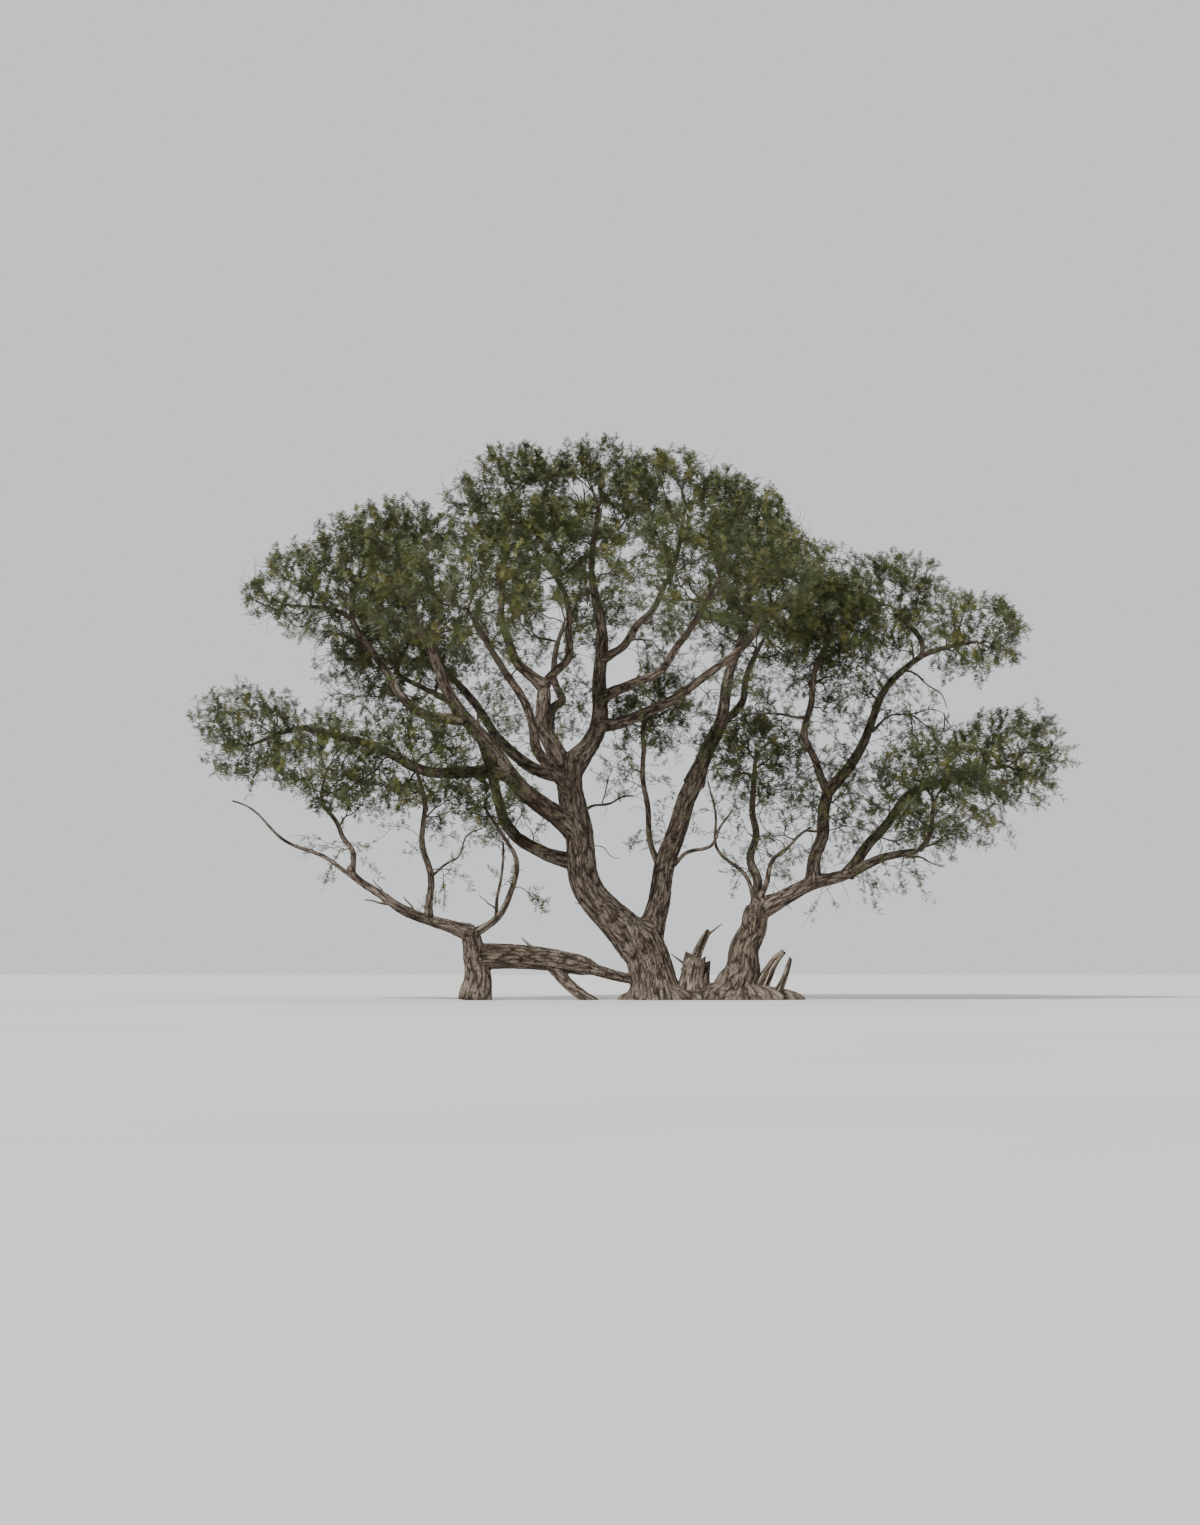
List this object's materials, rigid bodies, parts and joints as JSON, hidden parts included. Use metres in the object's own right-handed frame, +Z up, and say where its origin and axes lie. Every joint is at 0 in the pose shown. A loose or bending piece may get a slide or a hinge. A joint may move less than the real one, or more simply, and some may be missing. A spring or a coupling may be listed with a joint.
{
  "type": "giraffe thorn acacia tree",
  "caption": "Old savanna acacia with a leaning forked trunk, a second stem and broken stump, a fallen limb and a broad open crown, rooted at a flat cut at ground level",
  "frame": {"origin": "the middle of the flat cut under the trunk, at ground level", "axes": "+Z is up, +X is the crown's long side, to the right seen from the front, and the front faces -Y"},
  "size_m": [13.9425, 9.5546, 9.118],
  "materials": {
    "bark": "dark grey-brown bark, deeply furrowed on the trunk and boughs",
    "foliage": "small feathery olive and grey-green leaves on dark twigs"
  },
  "bodies": {
    "root": {"back_left_bough": "bark", "back_right_bough": "bark", "centre_rise": "bark", "centre_stem": "bark", "cross_bough": "bark", "curl_bough": "bark", "dead_limb": "bark", "fallen_limb": "bark", "front_left_bough": "bark", "front_right_bough": "bark", "leader": "bark", "left_back_bough": "bark", "left_bough": "bark", "left_fork": "bark", "left_fork_lean": "bark", "left_fork_rise": "bark", "left_reach": "bark", "low_bough": "bark", "low_crook": "bark", "low_left_bough": "bark", "low_rise": "bark", "low_stem": "bark", "low_upright": "bark", "right_bough": "bark", "right_inner_bough": "bark", "right_inner_rise": "bark", "right_outer_bough": "bark", "right_stem": "bark", "right_sweep": "bark", "right_upright": "bark", "slim_upright": "bark", "top_leader": "bark", "trunk": "bark", "upper_right_limb": "bark", "back_left_mass": "foliage", "back_right_mass": "foliage", "centre_hang_mass": "foliage", "dense_right_mass": "foliage", "front_left_mass": "foliage", "front_right_mass": "foliage", "inner_left_mass": "foliage", "left_back_mass": "foliage", "left_hollow_mass": "foliage", "left_shoulder_mass": "foliage", "left_tip_mass": "foliage", "low_crook_mass": "foliage", "low_left_mass": "foliage", "low_left_tip_mass": "foliage", "low_upright_mass": "foliage", "right_centre_mass": "foliage", "right_inner_mass": "foliage", "right_low_mass": "foliage", "right_low_outer_mass": "foliage", "right_outer_mass": "foliage", "right_upper_mass": "foliage", "shoulder_right_mass": "foliage", "top_centre_mass": "foliage", "top_left_mass": "foliage", "top_right_mass": "foliage", "upper_left_mass": "foliage"}
  },
  "joints": []
}
